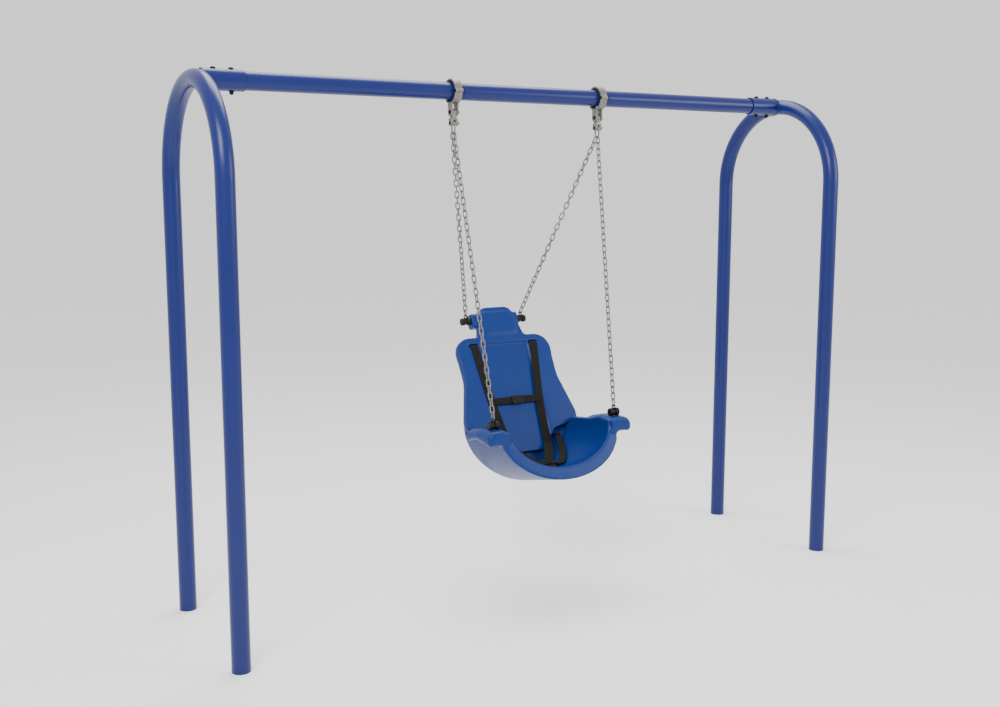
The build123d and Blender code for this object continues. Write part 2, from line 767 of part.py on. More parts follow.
def tub_body(inset):
    """Outside of the tub, drawn in all round by inset, with its back along the backrest."""
    rim = leaning(rim_bottom_y, rim_bottom_z, rim_lean, -inset)
    tail = leaning(tub_tail_y, tub_tail_z, tub_tail_lean)
    with BuildPart() as body:
        add(trough_section(rim, rim_half_width - inset, rim_depth - inset, rim_height - inset, inset))
        add(trough_section(tail, tub_tail_half_width - inset, tub_tail_depth - inset,
                           tub_tail_height - inset, inset))
        loft()
        rear = back_thickness + fit_play + tub_back_wall - inset
        split(bisect_by=Plane(origin=on_back(0, 0, rear), x_dir=(1, 0, 0), z_dir=back_normal), keep=Keep.TOP)
    return body.part


def tub_hollow(grow):
    """Inside of the tub, let out all round by grow."""
    front = leaning(rim_bottom_y, rim_bottom_z, rim_lean, 40 + grow)
    lip = leaning(rim_bottom_y, rim_bottom_z, rim_lean, -50)
    middle = leaning(-250.0, 622.0, 18.0)
    tail = leaning(tub_tail_y, tub_tail_z, tub_tail_lean, -40)
    lip_half = rim_half_width - lip_side
    wall_half = tub_tail_half_width - tub_side
    over = 60
    with BuildPart() as hollow:
        for plane, half_width, depth, lift in [
            (front, lip_half, 222.0, lip_bottom),
            (lip, lip_half + 10, 232.0, lip_bottom - 8),
            (middle, (lip_half + 10 + wall_half) / 2, 226.0, tub_floor_mid),
            (tail, wall_half, 175.0, tub_floor_tail),
        ]:
            add(trough_section(plane, half_width + grow, depth + grow, lift + depth + over + 60, lift - grow))
        loft()
        front_of_back = back_thickness + fit_play + grow
        split(bisect_by=Plane(origin=on_back(0, 0, front_of_back), x_dir=(1, 0, 0), z_dir=back_normal),
              keep=Keep.TOP)
    return hollow.part


def wing_face(sign, drop):
    """Section of one wing, lowered by drop: flat on top, drooping outwards to its tip."""
    top = pad_height - drop
    root = rim_half_width - lip_side + 14
    with BuildSketch(Plane.XZ) as face:
        with BuildLine():
            Polyline((sign * root, top - 75), (sign * root, top - 16), (sign * (front_anchor_x - 34), top),
                     (sign * (front_anchor_x + 34), top))
            ThreePointArc((sign * (front_anchor_x + 34), top), (sign * (wing_tip - 12), top - 17),
                          (sign * wing_tip, top - wing_drop + 22))
            ThreePointArc((sign * wing_tip, top - wing_drop + 22), (sign * (wing_tip - 6), top - wing_drop + 6),
                          (sign * (wing_tip - 22), top - wing_drop))
            ThreePointArc((sign * (wing_tip - 22), top - wing_drop), (sign * (rim_half_width + 28), top - 76),
                          (sign * rim_half_width, top - 78))
            Line((sign * rim_half_width, top - 78), (sign * root, top - 75))
        make_face()
    return face.sketch


hip_slots = [(-hip_strap_x, hip_strap_s), (hip_strap_x, hip_strap_s)]
rear_depth = back_thickness + fit_play + tub_back_wall
floor_fall = (tub_tail_z - rim_bottom_z) / (tub_tail_y - rim_bottom_y)
underside_z = rim_bottom_z + (crotch_slot_y - rim_bottom_y) * floor_fall
crotch_bar_z = underside_z + bar_r + 4

with BuildPart() as bucket_void:
    add(tub_body(bucket_wall))
    add(tub_hollow(bucket_wall), mode=Mode.SUBTRACT)
    with BuildSketch(back_plane(-2 * bucket_wall - 200)):
        add(back_outline(fit_play + bucket_wall))
    extrude(amount=-(back_thickness + 3 * bucket_wall + 200), mode=Mode.SUBTRACT)
    with BuildSketch(back_plane(0)):
        with Locations(*hip_slots):
            SlotOverall(strap_slot_length + 2 * slot_skin, strap_slot_width + 2 * slot_skin)
        with Locations(*joint_points):
            Circle(joint_boss_r)
    extrude(amount=-2 * rear_depth, mode=Mode.SUBTRACT)
    with Locations((0, crotch_slot_y, tub_tail_z)):
        Box(bar_length + 3 * slot_skin, strap_slot_width + 2 * slot_skin, 2 * rim_height, mode=Mode.SUBTRACT)


with BuildPart() as seat_bucket:
    add(tub_body(0.0))
    for sign in sides.values():
        with BuildSketch(Plane.XZ.offset(-wing_front_y)):
            add(wing_face(sign, 0.0))
        extrude(amount=wing_front_y - wing_flat_y)
        with BuildSketch(Plane.XZ.offset(-wing_flat_y)):
            add(wing_face(sign, 0.0))
        with BuildSketch(Plane.XZ.offset(-wing_back_y)):
            add(wing_face(sign, wing_fall))
        loft()
        arch_r = (wing_arch_half**2 + wing_arch_rise**2) / (2 * wing_arch_rise)
        arch_z = pad_height - wing_drop + wing_arch_rise - arch_r
        with BuildSketch(across(sign * (rim_half_width + 8), wing_arch_y, arch_z)):
            Circle(arch_r)
        extrude(amount=sign * wing_tip, mode=Mode.SUBTRACT)
    add(tub_hollow(0.0), mode=Mode.SUBTRACT)
    with BuildSketch(Plane(origin=on_back(0, 0, -18), x_dir=(1, 0, 0), z_dir=back_normal)):
        add(back_outline(fit_play))
    extrude(amount=-(back_thickness + 18 + fit_play), mode=Mode.SUBTRACT)
    with BuildSketch(Plane.XY.offset(pad_height - insert_length)):
        with Locations((-front_anchor_x, front_anchor_y), (front_anchor_x, front_anchor_y)):
            Circle(insert_r)
    extrude(amount=2 * insert_length, mode=Mode.SUBTRACT)
    with BuildSketch(back_plane(0)):
        with Locations(*hip_slots):
            SlotOverall(strap_slot_length, strap_slot_width)
        with Locations(*joint_points):
            Circle(joint_bolt_d / 2 + joint_play)
    extrude(amount=-2 * rear_depth, mode=Mode.SUBTRACT)
    with Locations((0, crotch_slot_y, tub_tail_z)):
        Box(strap_slot_length, strap_slot_width, 2 * rim_height, mode=Mode.SUBTRACT)
    with Locations((0, crotch_slot_y, crotch_bar_z + bar_r + bar_gap)):
        Box(bar_length + slot_skin, strap_slot_width, rim_height, align=(Align.CENTER, Align.CENTER, Align.MAX),
            mode=Mode.SUBTRACT)
    add(bucket_void.part, mode=Mode.SUBTRACT)
save(seat_bucket.part, "seat_bucket")

with BuildPart() as joint_bolts:
    places = [on_back(x, s, rear_depth) for x, s in joint_points]
    with Locations(*[Plane(origin=place, x_dir=(1, 0, 0), z_dir=-back_normal) for place in places]):
        add(round_bolt(joint_bolt_d, tub_back_wall + fit_play + joint_insert_length - 2, joint_head_r,
                       joint_head_height))
save(joint_bolts.part, "joint_bolts")

with BuildPart() as joint_inserts:
    with BuildSketch(back_plane(back_thickness - joint_insert_length)):
        with Locations(*joint_points):
            Circle(joint_insert_r)
            Circle(joint_bolt_d / 2, mode=Mode.SUBTRACT)
    extrude(amount=-joint_insert_length)
save(joint_inserts.part, "joint_inserts")


# ---------------------------------------------------------------- harness
def ribbon(stations, width, thickness):
    """Flat webbing along stations of (point, direction of its width)."""
    points = [Vector(point) for point, wide in stations]
    with BuildPart() as web:
        for index, (point, wide) in enumerate(stations):
            before = points[max(index - 1, 0)]
            after = points[min(index + 1, len(points) - 1)]
            run = (after - before).normalized()
            side = (Vector(wide) - run * Vector(wide).dot(run)).normalized()
            with BuildSketch(Plane(origin=point, x_dir=side, z_dir=run)):
                Rectangle(width, thickness)
        loft(ruled=True)
    return web.part


front_of_back = -(strap_gap + strap_thickness / 2)
chest_depth = front_of_back - strap_thickness - strap_gap
level = (1, 0, 0)
fore_and_aft = (0, -1, 0)
hub_back_y = hub_y + hub_length / 2
hub_front_y = hub_y - hub_length / 2
hub_side_x = hub_width / 2

for side, sign in sides.items():
    mid_x = strap_mid_x[side]
    foot_x = strap_foot_x[side]
    hub_x = hub_width / 4
    stations = [
        (on_back(sign * slot_x, slot_s + 2, back_thickness), level),
        (on_back(sign * slot_x, slot_s + 2, 5), level),
        (on_back(sign * slot_x, slot_s, front_of_back + 0.6), level),
        (on_back(sign * (slot_x - 1), slot_s - 6, front_of_back), level),
        (on_back(sign * mid_x, strap_mid_s, front_of_back), level),
        (on_back(sign * foot_x, shoulder_foot_s, front_of_back), level),
        (on_back(sign * (foot_x - 4), shoulder_foot_s - 22, front_of_back - 7), level),
        (Vector(sign * (foot_x + 2 * hub_x) / 3, hub_back_y + 48, hub_z + 14), level),
        (Vector(sign * hub_x, hub_back_y + 26, hub_z), level),
        (Vector(sign * hub_x, hub_back_y + 4, hub_z), level),
        (Vector(sign * hub_x, hub_back_y - hub_pocket + 1, hub_z), level),
    ]
    save(ribbon(stations, strap_width, strap_thickness), f"shoulder_strap_{side}")

    stations = [
        (on_back(sign * hip_strap_x, hip_strap_s, rear_depth), level),
        (on_back(sign * hip_strap_x, hip_strap_s, back_thickness - 8), level),
        (on_back(sign * (hip_strap_x - 2), hip_strap_s - 12, back_thickness - 24), level),
        (Vector(sign * 180, -84, hub_z + 58), (sign, -0.35, -0.2)),
        (Vector(sign * 130, -170, hub_z + 20), (sign, -1.3, -0.2)),
        (Vector(sign * (hub_side_x + 28), hub_y, hub_z + 1), fore_and_aft),
        (Vector(sign * (hub_side_x + 4), hub_y, hub_z), fore_and_aft),
        (Vector(sign * (hub_side_x - hub_pocket + 1), hub_y, hub_z), fore_and_aft),
    ]
    save(ribbon(stations, chest_strap_width, strap_thickness), f"hip_strap_{side}")

crotch_foot = crotch_bar_z + bar_r + bar_gap
stations = [
    (Vector(0, crotch_slot_y, crotch_foot), level),
    (Vector(0, crotch_slot_y, hub_z - 14), level),
    (Vector(0, crotch_slot_y + 5, hub_z - 4), level),
    (Vector(0, hub_front_y - 24, hub_z), level),
    (Vector(0, hub_front_y - 4, hub_z), level),
    (Vector(0, hub_front_y + hub_pocket - 1, hub_z), level),
]
save(ribbon(stations, crotch_width, strap_thickness), "crotch_strap")

with BuildPart() as harness_hub:
    with BuildSketch(Plane(origin=(0, hub_y, hub_z - hub_thickness / 2))):
        RectangleRounded(hub_width, hub_length, 14)
    extrude(amount=hub_thickness)
    with BuildSketch(Plane(origin=(0, hub_y, hub_z + hub_thickness / 2))):
        Circle(15)
    extrude(amount=3)
    pocket_height = strap_thickness + 1
    with Locations((-hub_width / 4, hub_back_y, hub_z), (hub_width / 4, hub_back_y, hub_z)):
        Box(strap_width + 1, 2 * hub_pocket, pocket_height, mode=Mode.SUBTRACT)
    with Locations((-hub_side_x, hub_y, hub_z), (hub_side_x, hub_y, hub_z)):
        Box(2 * hub_pocket, chest_strap_width + 1, pocket_height, mode=Mode.SUBTRACT)
    with Locations((0, hub_front_y, hub_z)):
        Box(crotch_width + 1, 2 * hub_pocket, pocket_height, mode=Mode.SUBTRACT)
save(harness_hub.part, "harness_hub")

bar_depth = bar_r + bar_gap
bar_places = [on_back(x, s + 2, back_thickness + bar_depth) for x, s in slot_points]
bar_places += [on_back(x, s, rear_depth + bar_depth) for x, s in hip_slots]
bar_places += [Vector(0, crotch_slot_y, crotch_bar_z)]
with BuildPart() as strap_bars:
    for place in bar_places:
        with BuildSketch(across(place.X - bar_length / 2, place.Y, place.Z)):
            Circle(bar_r)
        extrude(amount=bar_length)
save(strap_bars.part, "strap_bars")

# ---------------------------------------------------------------- chest strap and its buckle
joint_x = chest_buckle_x + (buckle_body - buckle_tongue) / 2
body_left = joint_x - buckle_body
tongue_right = joint_x + buckle_tongue
sewn = 9.0                   # how far a strap's end reaches into its half of the buckle


def buckle_half(start, end):
    """Rounded block across the chest strap from start to end in x."""
    middle = on_back((start + end) / 2, strap_mid_s, chest_depth + buckle_thickness / 2)
    with BuildPart() as half:
        with BuildSketch(Plane(origin=middle, x_dir=(1, 0, 0), z_dir=back_normal)):
            RectangleRounded(end - start, buckle_height, buckle_round)
        extrude(amount=buckle_thickness)
    return half.part


def chest_slot(start, length, height, thickness):
    """Straight block along x in the chest strap's plane, running from start."""
    with BuildPart() as block:
        with BuildSketch(Plane(origin=on_back(start, strap_mid_s, chest_depth), x_dir=back_up, z_dir=(1, 0, 0))):
            Rectangle(height, thickness)
        extrude(amount=length)
    return block.part


with BuildPart() as chest_buckle_body:
    add(buckle_half(body_left, joint_x))
    add(chest_slot(joint_x - prong_length - prong_play, buckle_body, prong_height + 2 * prong_play,
                   prong_thickness + 2 * prong_play), mode=Mode.SUBTRACT)
    add(chest_slot(body_left - sewn, 2 * sewn, chest_strap_width + 1, strap_thickness + 0.6), mode=Mode.SUBTRACT)
save(chest_buckle_body.part, "chest_buckle_body")

with BuildPart() as chest_buckle_tongue:
    add(buckle_half(joint_x + prong_play, tongue_right))
    add(chest_slot(joint_x - prong_length, prong_length + 4, prong_height, prong_thickness))
    add(chest_slot(tongue_right - sewn, 2 * sewn, chest_strap_width + 1, strap_thickness + 0.6), mode=Mode.SUBTRACT)
save(chest_buckle_tongue.part, "chest_buckle_tongue")

left_start = -(strap_mid_x["left"] + chest_reach)
right_end = strap_mid_x["right"] + chest_reach
with BuildPart() as chest_strap_left:
    add(chest_slot(left_start, body_left + sewn - 0.5 - left_start, chest_strap_width, strap_thickness))
save(chest_strap_left.part, "chest_strap_left")
with BuildPart() as chest_strap_right:
    start = tongue_right - sewn + 0.5
    add(chest_slot(start, right_end - start, chest_strap_width, strap_thickness))
save(chest_strap_right.part, "chest_strap_right")
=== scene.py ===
"""Looks of the arch swing set: moulded seat, harness, weld beads and finishes."""
import bmesh
import bpy
import json
import math
from mathutils import Matrix, Vector


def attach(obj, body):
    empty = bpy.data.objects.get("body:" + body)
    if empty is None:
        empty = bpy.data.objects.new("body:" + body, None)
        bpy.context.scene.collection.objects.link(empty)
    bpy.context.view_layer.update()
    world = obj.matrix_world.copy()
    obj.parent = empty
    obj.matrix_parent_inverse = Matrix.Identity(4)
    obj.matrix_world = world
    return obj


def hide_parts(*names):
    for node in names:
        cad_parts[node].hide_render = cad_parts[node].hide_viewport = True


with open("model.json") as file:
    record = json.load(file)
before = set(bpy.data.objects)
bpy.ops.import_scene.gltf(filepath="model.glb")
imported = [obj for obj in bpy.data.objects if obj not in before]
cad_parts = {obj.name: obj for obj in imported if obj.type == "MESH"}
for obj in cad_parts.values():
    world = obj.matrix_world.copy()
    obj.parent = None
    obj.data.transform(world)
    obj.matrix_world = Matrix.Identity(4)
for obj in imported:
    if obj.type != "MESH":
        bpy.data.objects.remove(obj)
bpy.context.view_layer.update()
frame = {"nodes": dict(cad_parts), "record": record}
nodes = frame["nodes"]
SIDES = {"left": -1, "right": 1}
MM = 0.001


# ---------------------------------------------------------------- shader wiring
class Wire:
    """An output socket in a finish, so that shader sums read as sums."""

    def __init__(self, finish, socket):
        self.finish = finish
        self.socket = socket

    def maths(self, operation, first, second):
        return self.finish.node("ShaderNodeMath", {"operation": operation}, {0: first, 1: second})

    def __add__(self, other):
        return self.maths("ADD", self, other)

    def __radd__(self, other):
        return self.maths("ADD", other, self)

    def __sub__(self, other):
        return self.maths("SUBTRACT", self, other)

    def __rsub__(self, other):
        return self.maths("SUBTRACT", other, self)

    def __mul__(self, other):
        return self.maths("MULTIPLY", self, other)

    def __rmul__(self, other):
        return self.maths("MULTIPLY", other, self)


# the colour sockets of a Mix node
MIX_FACTOR, MIX_FIRST, MIX_SECOND, MIX_RESULT = 0, 6, 7, 2


class Finish:
    """One procedural material and the few moves that build it."""

    def __init__(self, name):
        self.material = bpy.data.materials.new(name)
        self.material.use_nodes = True
        self.tree = self.material.node_tree
        self.surface = self.tree.nodes["Principled BSDF"]
        self.place = self.node("ShaderNodeTexCoord", out="Object")

    def node(self, kind, settings=None, sockets=None, out=0):
        made = self.tree.nodes.new(kind)
        for key, value in (settings or {}).items():
            if key == "stops":
                for element, (position, grey) in zip(made.color_ramp.elements, value):
                    element.position = position
                    element.color = (grey, grey, grey, 1)
            else:
                setattr(made, key, value)
        for key, value in (sockets or {}).items():
            self.join(made.inputs[key], value)
        return Wire(self, made.outputs[out])

    def join(self, socket, value):
        if isinstance(value, Wire):
            self.tree.links.new(value.socket, socket)
        else:
            socket.default_value = value

    def noise(self, scale, detail=2.0, roughness=0.5):
        return self.node("ShaderNodeTexNoise", None, {
            "Vector": self.place, "Scale": scale, "Detail": detail, "Roughness": roughness})

    def cells(self, scale):
        return self.node("ShaderNodeTexVoronoi", None,
                         {"Vector": self.place, "Scale": scale}, out="Color")

    def ramp(self, value, low, high):
        return self.node("ShaderNodeValToRGB", {"stops": ((low, 0.0), (high, 1.0))}, {0: value})

    def mix(self, factor, first, second):
        """Colour between two others, each of them a wire or three numbers."""
        first, second = (tone if isinstance(tone, Wire) else (*tone, 1.0)
                         for tone in (first, second))
        return self.node("ShaderNodeMix", {"data_type": "RGBA"}, {
            MIX_FACTOR: factor, MIX_FIRST: first, MIX_SECOND: second}, out=MIX_RESULT)

    def bump(self, height, strength, distance):
        return self.node("ShaderNodeBump", None, {
            "Height": height, "Strength": strength, "Distance": distance})

    def apply(self, **sockets):
        for key, value in sockets.items():
            self.join(self.surface.inputs[key.replace("_", " ")], value)
        return self.material


# ---------------------------------------------------------------- finishes
def powder_coat():
    """Glossy royal blue paint with a little orange peel and a few paler specks."""
    finish = Finish("royal_blue_powder_coat")
    drift = finish.noise(3.0, 3.0)
    peel = finish.noise(420.0, 1.0)
    specks = finish.ramp(finish.noise(150.0, 4.0, 0.7), 0.70, 0.76)
    deep = finish.mix(drift, (0.0038, 0.0095, 0.092), (0.0052, 0.0130, 0.112))
    return finish.apply(
        Base_Color=finish.mix(specks * 0.10, deep, (0.02, 0.035, 0.14)),
        Roughness=0.24 + drift * 0.10 + specks * 0.1, Specular_IOR_Level=0.30,
        Normal=finish.bump(peel, 0.12, 0.0006))


def seat_plastic():
    """Azure moulded plastic, fine grained, scuffed where it has worn."""
    finish = Finish("azure_moulded_plastic")
    drift = finish.noise(5.0, 3.0)
    grain = finish.noise(900.0, 2.0, 0.6)
    scuffs = finish.ramp(finish.noise(60.0, 6.0, 0.75), 0.66, 0.74)
    wear = finish.ramp(finish.noise(7.0, 4.0), 0.50, 0.70)
    skin = finish.mix(drift, (0.0002, 0.0165, 0.118), (0.0004, 0.0215, 0.142))
    return finish.apply(
        Base_Color=finish.mix(scuffs * wear * 0.22, skin, (0.003, 0.038, 0.18)),
        Roughness=0.36 + wear * 0.08 + scuffs * 0.08, Specular_IOR_Level=0.24,
        Normal=finish.bump(grain, 0.16, 0.0004))


def galvanised():
    """Zinc with its spangle, dulled in patches."""
    finish = Finish("galvanised_steel")
    spangle = finish.cells(160.0)
    drift = finish.noise(14.0, 4.0)
    tarnish = finish.ramp(finish.noise(40.0, 6.0, 0.7), 0.45, 0.75)
    zinc = finish.mix(spangle, (0.155, 0.148, 0.135), (0.27, 0.258, 0.235))
    return finish.apply(
        Base_Color=finish.mix(tarnish * 0.6, zinc, (0.10, 0.092, 0.078)),
        Metallic=0.85 - tarnish * 0.35, Roughness=0.38 + drift * 0.2 + tarnish * 0.15,
        Normal=finish.bump(drift, 0.15, 0.0008))


def plated_chain():
    """Bright chain steel, scratched where links rub."""
    finish = Finish("plated_chain_steel")
    drift = finish.noise(30.0, 4.0)
    scratches = finish.ramp(finish.noise(260.0, 5.0, 0.7), 0.58, 0.68)
    steel = finish.mix(drift, (0.13, 0.13, 0.13), (0.24, 0.24, 0.24))
    return finish.apply(
        Base_Color=finish.mix(scratches * 0.5, steel, (0.07, 0.068, 0.065)),
        Metallic=0.9, Roughness=0.34 + drift * 0.18 + scratches * 0.12,
        Normal=finish.bump(scratches, 0.10, 0.0003))


def dark_steel():
    """Blackened fasteners, rubbed paler in spots."""
    finish = Finish("blackened_steel")
    drift = finish.noise(60.0, 4.0)
    rubbed = finish.ramp(finish.noise(180.0, 5.0, 0.7), 0.62, 0.72)
    return finish.apply(
        Base_Color=finish.mix(rubbed * 0.6, (0.006, 0.0055, 0.005), (0.035, 0.032, 0.028)),
        Metallic=0.5, Specular_IOR_Level=0.3, Roughness=0.36 + drift * 0.2,
        Normal=finish.bump(drift, 0.15, 0.0004))


def black_rubber(name, tone, gloss):
    """Porous rubber of a given darkness and least roughness, a little dusty."""
    finish = Finish(name)
    drift = finish.noise(20.0, 4.0)
    pores = finish.noise(1300.0, 2.0, 0.7)
    dust = finish.ramp(finish.noise(45.0, 6.0, 0.7), 0.52, 0.75)
    clean = (tone, tone * 0.93, tone * 0.86)
    dusty = (tone * 3, tone * 2.8, tone * 2.5)
    return finish.apply(
        Base_Color=finish.mix(dust * 0.5, clean, dusty),
        Roughness=gloss + drift * 0.15 + dust * 0.1, Specular_IOR_Level=0.2,
        Normal=finish.bump(pores, 0.25, 0.0003))


def insert_brass():
    """Turned brass of the threaded inserts."""
    finish = Finish("turned_brass")
    drift = finish.noise(80.0, 3.0)
    return finish.apply(
        Base_Color=finish.mix(drift, (0.55, 0.38, 0.14), (0.68, 0.50, 0.20)), Metallic=1.0,
        Roughness=0.28 + drift * 0.2, Normal=finish.bump(drift, 0.1, 0.0002))


def buckle_plastic():
    """Black buckle plastic with a fine texture and scuffed highs."""
    finish = Finish("black_buckle_plastic")
    grain = finish.noise(1500.0, 2.0, 0.6)
    scuffs = finish.ramp(finish.noise(120.0, 5.0, 0.75), 0.64, 0.74)
    return finish.apply(
        Base_Color=finish.mix(scuffs * 0.5, (0.0032, 0.0030, 0.0026), (0.016, 0.015, 0.014)),
        Roughness=0.46 + scuffs * 0.2, Specular_IOR_Level=0.2,
        Normal=finish.bump(grain, 0.3, 0.0002))


WEAVE_PITCH = 2.4 * MM
RIB_PITCH = 1.6 * MM


def webbing_weave():
    """Woven strap: the cloth's own map runs across it (x) and along it (y), in metres."""
    finish = Finish("woven_webbing")
    cloth = finish.node("ShaderNodeTexCoord", out="UV")
    across = finish.node("ShaderNodeSeparateXYZ", None, {0: cloth}, out="X")
    along = Wire(finish, across.socket.node.outputs["Y"])
    warp = finish.node("ShaderNodeMath", {"operation": "SINE"},
                       {0: across * (2 * math.pi / RIB_PITCH)})
    slant = along * (2 * math.pi / WEAVE_PITCH) + across * (math.pi / RIB_PITCH)
    weft = finish.node("ShaderNodeMath", {"operation": "SINE"}, {0: slant})
    thread = warp * weft * 0.5 + 0.5
    fuzz = finish.noise(700.0, 3.0, 0.7)
    dust = finish.ramp(finish.noise(22.0, 5.0, 0.65), 0.45, 0.80)
    yarn = finish.mix(thread * 0.8 + fuzz * 0.2,
                      (0.0022, 0.0019, 0.0014), (0.0100, 0.0090, 0.0070))
    return finish.apply(
        Base_Color=finish.mix(dust * 0.20, yarn, (0.028, 0.025, 0.020)),
        Roughness=0.82 - thread * 0.12, Specular_IOR_Level=0.15,
        Normal=finish.bump(thread + fuzz * 0.3, 0.6, 0.0006))


def plain_webbing():
    """Webbing finish for solids with no cloth map of their own."""
    finish = Finish("webbing_solid")
    fuzz = finish.noise(900.0, 3.0, 0.7)
    return finish.apply(
        Base_Color=finish.mix(fuzz, (0.010, 0.009, 0.0075), (0.034, 0.031, 0.026)),
        Roughness=0.85 - fuzz * 0.1, Normal=finish.bump(fuzz, 0.4, 0.0004))


finishes = {
    "blue_paint": powder_coat(),
    "seat_plastic": seat_plastic(),
    "galvanised": galvanised(),
    "chain_steel": plated_chain(),
    "dark_steel": dark_steel(),
    "liner_rubber": black_rubber("liner_rubber", tone=0.007, gloss=0.62),
    "boot_rubber": black_rubber("boot_rubber", tone=0.005, gloss=0.42),
    "insert_brass": insert_brass(),
    "buckle_plastic": buckle_plastic(),
    "webbing": plain_webbing(),
}
for subpart in frame["record"]["subparts"]:
    for slot in nodes[subpart["node"]].material_slots:
        slot.link = "OBJECT"
        slot.material = finishes[subpart["material_slot"]]


# ---------------------------------------------------------------- making pieces
def piece(name, bm, slot, body, replaced=(), finish=None):
    """Turns a bmesh into a finished piece that rides on a body."""
    mesh = bpy.data.meshes.new(name)
    bm.to_mesh(mesh)
    bm.free()
    made = bpy.data.objects.new(name, mesh)
    bpy.context.scene.collection.objects.link(made)
    mesh.materials.append(finish or finishes[slot])
    for face in mesh.polygons:
        face.use_smooth = True
    if replaced:
        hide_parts(*replaced)
    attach(made, body)
    return made


def baked(source, *modifiers):
    """Mesh of a bmesh after the given (type, settings) modifiers."""
    mesh = bpy.data.meshes.new("blank")
    source.to_mesh(mesh)
    source.free()
    blank = bpy.data.objects.new("blank", mesh)
    bpy.context.scene.collection.objects.link(blank)
    for kind, settings in modifiers:
        modifier = blank.modifiers.new(kind, kind)
        for key, value in settings.items():
            setattr(modifier, key, value)
    shaped = blank.evaluated_get(bpy.context.evaluated_depsgraph_get())
    result = bmesh.new()
    result.from_mesh(shaped.to_mesh())
    shaped.to_mesh_clear()
    bpy.data.objects.remove(blank)
    bpy.data.meshes.remove(mesh)
    return result


# ---------------------------------------------------------------- moulded seat
MERGE = 0.01 * MM
MOULD_VOXEL = 4.5 * MM
# the pads that the front anchors stand on, and where the wings begin, in metres
ANCHOR_X, ANCHOR_Y = 0.383, -0.293
PAD_R = 0.042
WING_ROOT_X = 0.335
WING_LOW_Z = 0.845


def outer_shell(node):
    """Merged copy of a solid's outside, without the walls of its sealed hollow."""
    bm = bmesh.new()
    bm.from_mesh(nodes[node].data)
    bmesh.ops.remove_doubles(bm, verts=bm.verts, dist=MERGE)
    shells = []
    left = set(bm.verts)
    while left:
        shell = {left.pop()}
        to_walk = list(shell)
        while to_walk:
            for edge in to_walk.pop().link_edges:
                for vert in edge.verts:
                    if vert in left:
                        left.remove(vert)
                        shell.add(vert)
                        to_walk.append(vert)
        shells.append(shell)
    outside = max(shells, key=lambda shell: max(v.co.x for v in shell) - min(v.co.x for v in shell))
    bmesh.ops.delete(bm, geom=[v for v in bm.verts if v not in outside], context="VERTS")
    return bm


def relax(bm, verts, rounds):
    """Moves vertices half way to their neighbours' middle, round after round."""
    for turn in range(rounds):
        bmesh.ops.smooth_vert(bm, verts=verts, factor=0.5,
                              use_axis_x=True, use_axis_y=True, use_axis_z=True)


def moulded(name, node, rounds, softer=None, extra=0):
    """Skin of a moulded part: its edges softly rounded, and more so where softer says."""
    bm = baked(outer_shell(node), ("REMESH", {"mode": "VOXEL", "voxel_size": MOULD_VOXEL}))
    relax(bm, bm.verts, rounds)
    if softer:
        relax(bm, [vert for vert in bm.verts if softer(vert.co)], extra)
    return piece(name, bm, "seat_plastic", "swing", [node])


def on_wing(place):
    """The wings' free ends, clear of the pads under the front anchors."""
    from_anchor = math.hypot(abs(place.x) - ANCHOR_X, place.y - ANCHOR_Y)
    return abs(place.x) > WING_ROOT_X and place.z > WING_LOW_Z and from_anchor > PAD_R


moulded("bucket_shell", "seat_bucket", rounds=11, softer=on_wing, extra=26)
moulded("backrest_shell", "seat_back", rounds=9)

# ---------------------------------------------------------------- weld beads at the sleeves
PIPE_R = 44.45 * MM
SLEEVE_R = 49.6 * MM
RAIL_Z = 2.691
ARCH_R = 0.4585
ARCH_X = 1.806
BEAD_R = 4.2 * MM
LEAST_REACH = 38.0 * MM
RIPPLES = 130
RIPPLE_HEIGHT = 0.10


def weld_bead(side):
    """Rippled bead where a sleeve's coped end meets the crown of its arch."""
    inward = -SIDES[side]
    centre = (0, 0, SLEEVE_R)
    bm = bmesh.new()
    ring = bmesh.ops.create_circle(bm, segments=10, radius=BEAD_R,
                                   matrix=Matrix.Translation(centre))
    bmesh.ops.rotate(bm, verts=ring["verts"], cent=centre,
                     matrix=Matrix.Rotation(math.pi / 2, 3, "X"))
    bmesh.ops.spin(bm, geom=bm.verts[:] + bm.edges[:], cent=(0, 0, 0), axis=(1, 0, 0),
                   angle=2 * math.pi, steps=2 * RIPPLES, use_merge=True)
    for vert in bm.verts:
        angle = math.atan2(vert.co.y, vert.co.z)
        core = Vector((0, SLEEVE_R * math.sin(angle), SLEEVE_R * math.cos(angle)))
        vert.co = core + (vert.co - core) * (1 + RIPPLE_HEIGHT * math.sin(angle * RIPPLES))
        # how far the arch's pipe stands out here, at this height over its curved centre line
        height = math.hypot(core.y, core.z + ARCH_R) - ARCH_R
        reach = math.sqrt(max(PIPE_R ** 2 - height ** 2, 0.0))
        vert.co.x += inward * max(reach, LEAST_REACH)
    bmesh.ops.translate(bm, verts=bm.verts, vec=(SIDES[side] * ARCH_X, 0, RAIL_Z))
    bmesh.ops.recalc_face_normals(bm, faces=bm.faces)
    piece(f"weld_bead_{side}", bm, "blue_paint", "frame")


for side in SIDES:
    weld_bead(side)

# ---------------------------------------------------------------- webbing
RECLINE = math.radians(28.5)
BACK_ORIGIN = Vector((0, 0.256, 1.308))
BACK_UP = Vector((0, math.sin(RECLINE), math.cos(RECLINE)))
BACK_NORMAL = Vector((0, -math.cos(RECLINE), math.sin(RECLINE)))


def on_back(x, up, depth):
    """Point of the backrest in millimetres across, up and behind its face."""
    return Vector((x * MM, 0, 0)) + BACK_ORIGIN + BACK_UP * (up * MM) - BACK_NORMAL * (depth * MM)


def mm(x, y, z):
    """Point of the frame in millimetres."""
    return Vector((x * MM, y * MM, z * MM))


